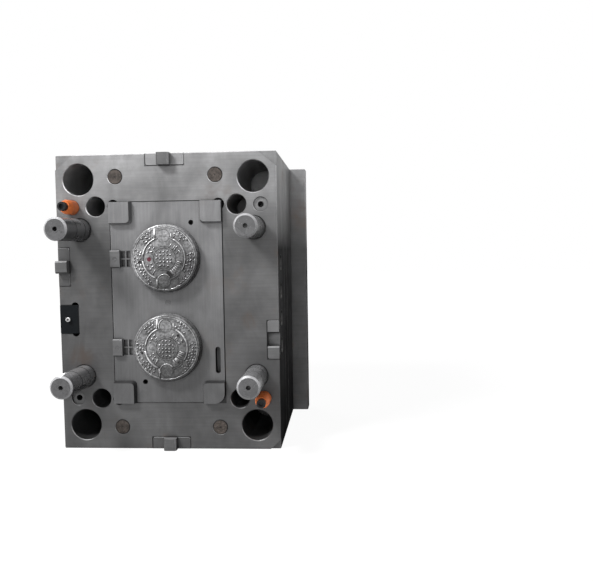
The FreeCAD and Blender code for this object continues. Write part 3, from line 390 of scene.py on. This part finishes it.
def moulded_plastic(name, colour, dirt, rough=(0.4, 0.55), specular=0.3):
    """Fine-grained plastic with patches of dirt."""
    t = Tree(name)
    dirt_and_crevice_shade = t.noise(90.0, 5.0, rough=0.7)
    grain = t.noise(600.0, 2.0)
    mixed = t.mix(t.ranged(dirt_and_crevice_shade, 0.5, 0.75, 0.0, 0.55), colour, dirt)
    t.bump(grain, 0.12, 0.05 * MM)
    return t.finish(mixed, t.ranged(dirt_and_crevice_shade, NOISE_LOW, NOISE_HIGH, *rough), 0.0, specular)


def soft_metal(name, colour, dark):
    """Turned brass or bronze with tarnished patches."""
    t = Tree(name)
    tarnish = t.noise(140.0, 4.0, rough=0.65)
    rings = t.noise(1.0, 3.0, t.stretch((900.0, 14.0, 14.0)))
    mixed = t.mix(t.ranged(tarnish, 0.4, 0.75, 0.0, 0.7), colour, dark)
    t.bump(rings, 0.15, 0.04 * MM)
    return t.finish(mixed, t.ranged(tarnish, NOISE_LOW, NOISE_HIGH, 0.22, 0.4), 1.0)


def spring_paint(name):
    """Blue die-spring paint, chipped to grey."""
    t = Tree(name)
    chip = t.noise(260.0, 5.0, rough=0.7)
    colour = t.mix(t.ranged(chip, 0.62, 0.7), (0.02, 0.07, 0.30), (0.10, 0.10, 0.10))
    t.bump(chip, 0.2, 0.05 * MM)
    return t.finish(colour, t.ranged(chip, NOISE_LOW, NOISE_HIGH, 0.35, 0.5), 0.1)


def middle(node):
    """Place of a node's middle across and up, as (x, z)."""
    low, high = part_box(node)
    return (low.x + high.x) / 2, (low.z + high.z) / 2


INSERT_MARKS = (((-52 * MM, 0.0, -112 * MM), 34 * MM, 0.75, OILY), ((15 * MM, 0.0, -116 * MM), 45 * MM, 0.5, OILY))
PLATE_MARKS = (((-125 * MM, 0.0, -60 * MM), 75 * MM, 0.6, OILY), ((128 * MM, 0.0, -95 * MM), 55 * MM, 0.35, OILY),
               ((110 * MM, 0.0, -25 * MM), 16 * MM, 0.55, BROWN), ((-122 * MM, 0.0, -72 * MM), 22 * MM, 0.6, BROWN),
               ((105 * MM, 0.0, 176 * MM), 16 * MM, 0.45, BROWN), ((-60 * MM, 0.0, -186 * MM), 18 * MM, 0.4, BROWN))
SEAM_NODES = ("core_insert", "counter_body", "side_lock_top", "side_lock_bottom", "side_lock_left",
              "side_lock_right")
finishes = {
    "ground_plate": ground_steel("plate_steel", (0.076, 0.076, 0.077), stain=0.6, height_fade=(0.3, 0.95, 3.1),
                                 blotch=0.4, side_tone=1.15),
    "ejector_steel": ground_steel("ejector_plate_steel", (0.17, 0.17, 0.172), stain=0.3, side_tone=0.9),
    "insert_steel": ground_steel("insert_steel", (0.092, 0.092, 0.094), blotch=0.22, grain_axis="z", stain=0.2,
                                 height_fade=(-0.6, 0.7, 1.75), side_tone=0.7, edge_lit=LEFT,
                                 marks=INSERT_MARKS),
    "polished_core": polished_steel("core_polish", (0.15, 0.15, 0.153)),
    "hardened_pin": turned_steel("guide_pin_steel", (0.11, 0.11, 0.113)),
    "ejector_pin_steel": turned_steel("ejector_pin_steel", (0.12, 0.12, 0.122)),
    "return_pin_steel": rusty_pin("return_pin_rust"),
    "lock_steel": ground_steel("side_lock_steel", (0.062, 0.062, 0.063), blotch=0.2, stain=0.15,
                               height_fade=(0.3, 0.95, 3.6), side_tone=1.6, top_tone=2.2, proud_tone=1.4),
    "black_screw": black_oxide("black_screw"),
    "orange_resin": moulded_plastic("orange_resin", (0.68, 0.17, 0.045), (0.2, 0.08, 0.04)),
    "black_counter": moulded_plastic("black_counter", (0.003, 0.004, 0.005), (0.006, 0.006, 0.006), (0.6, 0.7),
                                     specular=0.1),
    "plunger_steel": turned_steel("plunger_steel", (0.4, 0.4, 0.4)),
    "brass_fitting": soft_metal("brass", (0.50, 0.40, 0.24), (0.16, 0.12, 0.08)),
    "pillar_steel": turned_steel("pillar_steel", (0.2, 0.2, 0.203)),
    "bronze_bush": soft_metal("bronze", (0.42, 0.30, 0.16), (0.15, 0.10, 0.06)),
    "spring_steel": spring_paint("spring_paint"),
}
node_finishes, stud_finishes, line_finishes = {}, {}, {}
node_finishes["side_lock_right"] = ground_steel("side_lock_pale", (0.115, 0.115, 0.117), blotch=0.2, stain=0.15,
                                                side_tone=0.8, dirt_and_crevice_shade=0.8)
node_finishes["core_plate"] = ground_steel("core_plate_steel", (0.076, 0.076, 0.077), stain=0.6, blotch=0.4,
                                           height_fade=(0.3, 0.95, 3.1), side_tone=1.15, marks=PLATE_MARKS,
                                           seams=[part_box(node) for node in SEAM_NODES])
# The lower core's darker tone is painted shade.
CORE_TONE = {"upper": (0.14, 0.14, 0.143), "lower": (0.115, 0.115, 0.117)}
# A brighter tone for the raised lines: a painted highlight.
LINE_TONE = (0.36, 0.36, 0.365)
# Spots in the near-black colour are painted shade standing in for small holes; the others are dye marks.
CORE_SPOTS = {"upper": ((-20.0, -0.9, 3.4, DYE), (-32.8, -4.1, 2.6, PAINTED_HOLE_SHADE), (5.4, -18.8, 2.9, PAINTED_HOLE_SHADE),
                        (7.4, -20.8, 2.9, PAINTED_HOLE_SHADE), (9.4, -22.8, 2.9, PAINTED_HOLE_SHADE)),
              "lower": ((-33.0, -6.0, 2.5, PAINTED_HOLE_SHADE), (16.5, 17.5, 2.3, PAINTED_HOLE_SHADE))}
for level, spots in CORE_SPOTS.items():
    crown = middle("round_core_" + level)
    tone = CORE_TONE[level]
    node_finishes["round_core_" + level] = polished_steel("core_polish_" + level, tone, crown, spots=spots)
    # The studs take a stronger painted highlight on their upper-left slopes.
    stud_finishes[level] = polished_steel("stud_polish_" + level, tone, crown, 4.0, spots, dirt_and_crevice_shade=0.35)
    line_finishes[level] = polished_steel("line_painted_highlight_" + level, LINE_TONE, crown, 1.6, spots, dirt_and_crevice_shade=0.1)
    node_finishes["loop_core_" + level] = ground_steel("loop_steel_" + level, (0.11, 0.11, 0.112), blotch=0.2,
                                                       dirt_and_crevice_shade=0.7, side_tone=0.8)
for part in frame["record"]["subparts"]:
    mesh = nodes[part["node"]].data
    mesh.materials.clear()
    mesh.materials.append(node_finishes.get(part["node"], finishes[part["material_slot"]]))


# ======================================================================================================
# Pieces that the CAD leaves to the scene
# ======================================================================================================
def new_piece(name, mesh_maker, finish, body):
    """Mesh object filled by mesh_maker(bm), with one finish, riding on a CAD body."""
    mesh = bpy.data.meshes.new(name)
    bm = bmesh.new()
    mesh_maker(bm)
    bmesh.ops.recalc_face_normals(bm, faces=bm.faces)
    bm.to_mesh(mesh)
    bm.free()
    mesh.materials.append(finish)
    piece = bpy.data.objects.new(name, mesh)
    bpy.context.scene.collection.objects.link(piece)
    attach(piece, body)
    return piece


# ---- Coil springs round the return pins ----------------------------------------------------------------
SPRING_TURNS = 7.5
SPRING_STEPS = 40                    # per turn
SPRING_WIRE = (7.4 * MM, 4.4 * MM)   # across the coil and along it
SPRING_ROUND = 1.2 * MM
SPRING_GAP = 0.1 * MM                # inside the CAD sleeve's outer wall
SPRING_CLOSED = 0.75                 # turns that lie flat at each end


def spring_section():
    """Rounded rectangle of the flat spring wire, as (radial, axial) offsets from its middle."""
    half_w, half_t = SPRING_WIRE[0] / 2 - SPRING_ROUND, SPRING_WIRE[1] / 2 - SPRING_ROUND
    points = []
    for corner, (a, b) in enumerate(((1, 1), (-1, 1), (-1, -1), (1, -1))):
        for step in range(3):
            turn = math.radians(90 * corner + 45 * step)
            points.append((a * half_w + SPRING_ROUND * math.cos(turn),
                           b * half_t + SPRING_ROUND * math.sin(turn)))
    return points


def coil(bm, x, z, y_low, y_high, radius):
    """Helix of flat wire about an axis along Y, its ends closed against the seats."""
    section = spring_section()
    half_t = SPRING_WIRE[1] / 2
    rings = []
    total = int(SPRING_TURNS * SPRING_STEPS)
    for k in range(total + 1):
        turn = 2 * math.pi * k / SPRING_STEPS
        share = k / total
        flat = SPRING_CLOSED / SPRING_TURNS
        rise = min(max((share - flat) / (1 - 2 * flat), 0.0), 1.0)
        y = y_low + half_t + rise * (y_high - y_low - 2 * half_t)
        ring = [bm.verts.new((x + (radius + u) * math.cos(turn), y + v, z + (radius + u) * math.sin(turn)))
                for u, v in section]
        rings.append(ring)
    count = len(section)
    for one, two in zip(rings, rings[1:]):
        for i in range(count):
            bm.faces.new((one[i], one[(i + 1) % count], two[(i + 1) % count], two[i])).smooth = True
    bm.faces.new(rings[0])
    bm.faces.new(rings[-1])


def make_springs():
    """One coil in each sleeve of return_springs, whose CAD part is hidden."""
    low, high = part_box("return_springs")
    for corner in ("upper_left", "upper_right", "lower_left", "lower_right"):
        x, z = middle("return_pin_" + corner)
        radius = high.x - abs(x) - SPRING_WIRE[0] / 2 - SPRING_GAP
        piece = new_piece("return_spring_" + corner, lambda bm: coil(bm, x, z, low.y, high.y, radius),
                          finishes["spring_steel"], "mould_half")
        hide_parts("return_springs")
        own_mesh(piece)


# ---- Relief on the round cores --------------------------------------------------------------------------
CORE_TOP = -14.7 * MM                # crown of the domed top
CORE_EDGE = 43.0 * MM                # radius where the top turns into the edge
CORE_DOME = 1.2 * MM
SINK = 0.3 * MM                      # a raised form starts this far below the surface
DOME_SIDES = 12
DOME_LEVELS = 4
ARC_STEP = 5.0                       # degrees
STUD_PITCH = 4.4                     # millimetres between studs of one arc
STUD_GAPS = 0.14                     # share of the studs left out


def core_surface_y(r):
    """Depth of a core's domed top at a distance from its centre."""
    return CORE_TOP + CORE_DOME * (r / CORE_EDGE) ** 2


def polar(r, degrees):
    """Place (u, z) in metres at a radius in millimetres and an angle from the right."""
    turn = math.radians(degrees)
    return r * MM * math.cos(turn), r * MM * math.sin(turn)


def dome(bm, centre, u, z, half_u, half_v, turn, height):
    """Round-backed stud on the core's top at (u, z) from its centre: an oval with a low crown."""
    c, s = math.cos(turn), math.sin(turn)
    base_y = core_surface_y(math.hypot(u, z))
    rings = []
    for level in range(DOME_LEVELS):
        rise = math.radians(90.0 * level / DOME_LEVELS)
        k, y = math.cos(rise), base_y + SINK - (height + SINK) * math.sin(rise)
        ring = []
        for step in range(DOME_SIDES):
            around = 2 * math.pi * step / DOME_SIDES
            p, q = half_u * k * math.cos(around), half_v * k * math.sin(around)
            ring.append(bm.verts.new((centre[0] + u + p * c - q * s, y, centre[1] + z + p * s + q * c)))
        rings.append(ring)
    for one, two in zip(rings, rings[1:]):
        for i in range(DOME_SIDES):
            j = (i + 1) % DOME_SIDES
            bm.faces.new((one[i], one[j], two[j], two[i])).smooth = True
    tip = bm.verts.new((centre[0] + u, base_y - height, centre[1] + z))
    for i in range(DOME_SIDES):
        bm.faces.new((rings[-1][i], rings[-1][(i + 1) % DOME_SIDES], tip)).smooth = True


def ridge(bm, centre, points, width, height):
    """Raised line with a rounded back through (u, z) points on the core's top."""
    section = ((-0.5, 0.0), (-0.36, 0.75), (0.0, 1.0), (0.36, 0.75), (0.5, 0.0))
    rings = []
    for k, (u, z) in enumerate(points):
        before, after = points[max(k - 1, 0)], points[min(k + 1, len(points) - 1)]
        along = Vector((after[0] - before[0], after[1] - before[1])).normalized()
        across = Vector((-along.y, along.x))
        y = core_surface_y(math.hypot(u, z))
        rings.append([bm.verts.new((centre[0] + u + across.x * a * width, y + SINK - b * (height + SINK),
                                    centre[1] + z + across.y * a * width)) for a, b in section])
    for one, two in zip(rings, rings[1:]):
        for i in range(len(section) - 1):
            bm.faces.new((one[i], one[i + 1], two[i + 1], two[i])).smooth = True
    bm.faces.new(rings[0])
    bm.faces.new(rings[-1])


def arc(r, start, end, centre=(0.0, 0.0)):
    """Points every few degrees along an arc, in metres from the core's centre."""
    count = max(2, int(abs(end - start) / ARC_STEP))
    points = [polar(r, start + (end - start) * k / count) for k in range(count + 1)]
    return [(u + centre[0], z + centre[1]) for u, z in points]


def stud_field(bm, centre, dice, radii, start, end):
    """Rows of round studs and short bars on arcs between two angles."""
    for row, r in enumerate(radii):
        count = max(1, int(math.radians(end - start) * r / STUD_PITCH))
        for k in range(count):
            if dice.random() < STUD_GAPS:
                continue
            angle = start + (end - start) * (k + 0.5 + 0.2 * (row % 2)) / count
            u, z = polar(r + dice.uniform(-0.3, 0.3), angle + dice.uniform(-0.8, 0.8))
            turn = math.radians(angle + dice.choice((90, 90, 0, 40)))
            half_v = dice.uniform(1.0, 1.4) * MM
            half_u = half_v * dice.choice((1.0, 1.3, 1.6, 2.0))
            dome(bm, centre, u, z, half_u, half_v, turn, dice.uniform(1.1, 1.5) * MM)


BEAD = (1.7 * MM, 1.3 * MM)          # width and height of the rounded lines
BOLD, FINE = (2.4 * MM, 1.5 * MM), (1.2 * MM, 0.9 * MM)
RING_RADIUS = 28.5                   # radii, rows and pitches are in millimetres, fields in degrees
HUB_RADIUS = 14.2
DISC_OFFSET = 30.0 * MM
OUTER_FIELDS = ((113.0, 141.0), (160.0, 242.0), (300.0, 372.0), (36.0, 68.0))
OUTER_RADII = (32.1, 35.8, 39.4)
MIDDLE_FIELDS = ((125.0, 162.0), (195.0, 222.0), (14.0, 46.0))
MIDDLE_RADII = (19.0, 23.4)
HUB_ROWS = (9.6, 4.8, 0.0, -4.8, -9.6)
HUB_PITCH, HUB_RIM = 4.2, 2.0        # between studs of a row, and kept free inside the hub's edge


def studs(bm, centre, seed):
    """Round studs and short bars in the outer band, the middle band and the hub."""
    dice = random.Random(seed)
    for start, end in OUTER_FIELDS:
        stud_field(bm, centre, dice, OUTER_RADII, start, end)
    for start, end in MIDDLE_FIELDS:
        stud_field(bm, centre, dice, MIDDLE_RADII, start, end)
    for z in HUB_ROWS:
        half = math.sqrt((HUB_RADIUS - HUB_RIM) ** 2 - z * z)
        count = int(2 * half / HUB_PITCH)
        for k in range(count):
            u = -half + 2 * half * (k + 0.5) / count
            dome(bm, centre, u * MM, (z + dice.uniform(-0.6, 0.6)) * MM, dice.uniform(1.3, 2.0) * MM,
                 1.3 * MM, dice.choice((0.0, 0.5, -0.5)), dice.uniform(1.2, 1.6) * MM)


def bar(bm, centre, start, end, width, height):
    """Straight line between two (u, z) places in millimetres."""
    ridge(bm, centre, [(u * MM, z * MM) for u, z in (start, end)], width, height)


def lines(bm, centre, level):
    """Rounded lines: rings, the dividers beside the gate discs and single bars."""
    for start, end in ((114.0, 173.0), (186.0, 246.0), (-34.0, 62.0)):
        ridge(bm, centre, arc(RING_RADIUS, start, end), 2.2 * MM, 1.9 * MM)
    ridge(bm, centre, arc(41.4, 0.0, 360.0), 1.3 * MM, 0.8 * MM)
    ridge(bm, centre, arc(9.2, 30.0, 200.0, (0.0, -DISC_OFFSET)), *BEAD)
    bar(bm, centre, (-12.2, 25.5), (-11.6, 39.4), *BOLD)
    bar(bm, centre, (-10.6, -27.0), (-9.4, -40.2), *BEAD)
    bar(bm, centre, (10.2, 26.0), (10.0, 33.5), *FINE)
    bar(bm, centre, (-15.6, -20.6), (-11.5, -14.0), *BEAD)
    bar(bm, centre, (18.0, -3.8), (24.8, -6.8), *BEAD)
    bar(bm, centre, (7.2, 14.6), (10.6, 20.0), 1.3 * MM, 0.9 * MM)
    bar(bm, centre, (11.6, 12.0), (15.4, 17.0), 1.3 * MM, 0.9 * MM)
    if level == "lower":
        ridge(bm, centre, arc(9.8, 110.0, 195.0, (0.0, DISC_OFFSET)), 1.4 * MM, 1.0 * MM)
        bar(bm, centre, (11.7, -12.6), (16.6, -19.4), *FINE)
    # a fan of fine bars at the lower right of the hub
    for angle in range(300, 348, 8):
        ridge(bm, centre, [polar(17.5, angle), polar(25.0, angle)], 1.0 * MM, 0.6 * MM)


def make_relief():
    """Two pieces for each round core: its studs, and its lines in a brighter tone, which is a painted highlight."""
    for level, seed in (("upper", 3), ("lower", 8)):
        centre = middle("round_core_" + level)
        new_piece("core_relief_" + level, lambda bm: studs(bm, centre, seed), stud_finishes[level],
                  "mould_half")
        new_piece("core_lines_" + level, lambda bm: lines(bm, centre, level), line_finishes[level],
                  "mould_half")


make_springs()
make_relief()


# ======================================================================================================
# Stage, light and camera
# ======================================================================================================
def seen_rays(tree):
    """1 for the rays that look straight at a surface or at its mirror image, 0 for those that light others."""
    path = tree.nodes.new("ShaderNodeLightPath")
    seen = path.outputs["Is Camera Ray"]
    for kind in ("Is Glossy Ray", "Is Transmission Ray"):
        either = tree.nodes.new("ShaderNodeMath")
        either.operation = "MAXIMUM"
        tree.links.new(seen, either.inputs[0])
        tree.links.new(path.outputs[kind], either.inputs[1])
        seen = either.outputs[0]
    return seen


def floor_material():
    """Pale floor that looks white like the background, and keeps the object's shadow."""
    material = bpy.data.materials.new("pale_floor")
    material.use_nodes = True
    tree = material.node_tree
    plain = tree.nodes["Principled BSDF"]
    plain.inputs["Base Color"].default_value = (FLOOR_TONE, FLOOR_TONE, FLOOR_TONE, 1.0)
    plain.inputs["Roughness"].default_value = 0.9
    plain.inputs["Specular IOR Level"].default_value = 0.0
    glow = tree.nodes.new("ShaderNodeEmission")
    glow.inputs["Color"].default_value = (1.0, 1.0, 1.0, 1.0)
    glow.inputs["Strength"].default_value = FLOOR_GLOW_STRENGTH
    place = tree.nodes.new("ShaderNodeTexCoord")
    away = tree.nodes.new("ShaderNodeVectorMath")
    away.operation = "LENGTH"
    tree.links.new(place.outputs["Object"], away.inputs[0])
    far = tree.nodes.new("ShaderNodeMapRange")
    far.inputs["From Min"].default_value = FLOOR_NEAR
    far.inputs["From Max"].default_value = FLOOR_FAR
    far.inputs["To Min"].default_value = FLOOR_GLOW
    tree.links.new(away.outputs["Value"], far.inputs["Value"])
    share = tree.nodes.new("ShaderNodeMath")
    share.operation = "MULTIPLY"
    tree.links.new(seen_rays(tree), share.inputs[0])
    tree.links.new(far.outputs[0], share.inputs[1])
    blend = tree.nodes.new("ShaderNodeMixShader")
    tree.links.new(share.outputs[0], blend.inputs[0])
    tree.links.new(plain.outputs[0], blend.inputs[1])
    tree.links.new(glow.outputs[0], blend.inputs[2])
    tree.links.new(blend.outputs[0], tree.nodes["Material Output"].inputs["Surface"])
    return material


def make_floor():
    """Level floor just under the mould."""
    mesh = bpy.data.meshes.new("floor")
    half = FLOOR_SIZE / 2
    z = plate_low.z - FLOOR_GAP
    corners = [(-half, -half, z), (half, -half, z), (half, half, z), (-half, half, z)]
    mesh.from_pydata(corners, [], [(0, 1, 2, 3)])
    floor = bpy.data.objects.new("floor", mesh)
    bpy.context.scene.collection.objects.link(floor)
    mesh.materials.append(floor_material())


def make_world():
    """White to the eye, and a weak even light on the object."""
    world = bpy.data.worlds.new("studio")
    bpy.context.scene.world = world
    world.use_nodes = True
    tree = world.node_tree
    background = tree.nodes["Background"]
    strength = tree.nodes.new("ShaderNodeMapRange")
    strength.inputs["To Min"].default_value = WORLD_FILL
    strength.inputs["To Max"].default_value = 1.0
    tree.links.new(seen_rays(tree), strength.inputs["Value"])
    tree.links.new(strength.outputs[0], background.inputs["Strength"])
    background.inputs["Color"].default_value = (1.0, 1.0, 1.0, 1.0)


def area_light(name, place, target, side, watts):
    light = bpy.data.lights.new(name, "AREA")
    light.shape = "RECTANGLE"
    light.size, light.size_y = side, side
    light.energy = watts
    lamp = bpy.data.objects.new(name, light)
    lamp.location = place
    lamp.rotation_euler = (Vector(target) - Vector(place)).to_track_quat("-Z", "Y").to_euler()
    bpy.context.scene.collection.objects.link(lamp)


def make_camera():
    camera = bpy.data.cameras.new("camera")
    camera.lens = LENS_MM
    camera.sensor_width = SENSOR_MM
    camera.sensor_fit = "HORIZONTAL"
    eye = bpy.data.objects.new("camera", camera)
    aim = (Matrix.Rotation(math.radians(CAMERA_YAW), 4, "Z")
           @ Matrix.Rotation(math.radians(90.0 + CAMERA_PITCH), 4, "X")
           @ Matrix.Rotation(math.radians(CAMERA_ROLL), 4, "Z"))
    eye.matrix_world = Matrix.Translation(Vector(CAMERA_PLACE)) @ aim
    bpy.context.scene.collection.objects.link(eye)
    bpy.context.scene.camera = eye


make_floor()
make_world()
for lamp_values in LAMPS:
    area_light(*lamp_values)
make_camera()
bpy.context.scene.view_settings.view_transform = "Standard"
